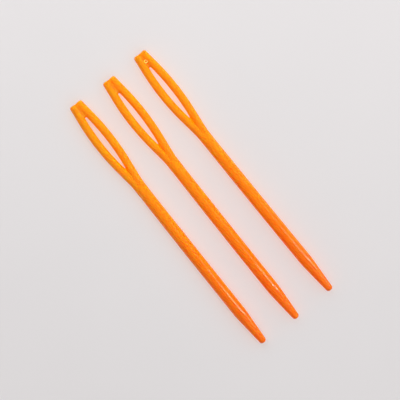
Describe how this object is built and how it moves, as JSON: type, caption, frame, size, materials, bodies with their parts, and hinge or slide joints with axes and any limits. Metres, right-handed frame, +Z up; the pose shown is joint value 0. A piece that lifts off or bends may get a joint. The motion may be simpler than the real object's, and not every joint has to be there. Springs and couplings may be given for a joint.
{
  "type": "yarn needle",
  "caption": "Set of blunt moulded plastic yarn needles lying side by side, each with a long pointed-oval eye between two bowed rails and a round tapering shaft.",
  "frame": {"origin": "centre of the set, on the surface that the needles lie on", "axes": "+X along the middle needle towards its point, +Y from the left needle to the right one, +Z up"},
  "size_m": [0.0904, 0.0307, 0.0038],
  "materials": {
    "needle_plastic": "translucent orange plastic with the gloss of a polished mould"
  },
  "bodies": {
    "middle": {"middle_needle": "needle_plastic"},
    "left": {"left_needle": "needle_plastic"},
    "right": {"right_needle": "needle_plastic"}
  },
  "joints": [
    {"name": "left_needle_lift", "type": "slide", "parent": "middle", "child": "left", "axis": [0, 0, 1], "range_m": [0, 0.04]},
    {"name": "right_needle_lift", "type": "slide", "parent": "middle", "child": "right", "axis": [0, 0, 1], "range_m": [0, 0.04]}
  ]
}
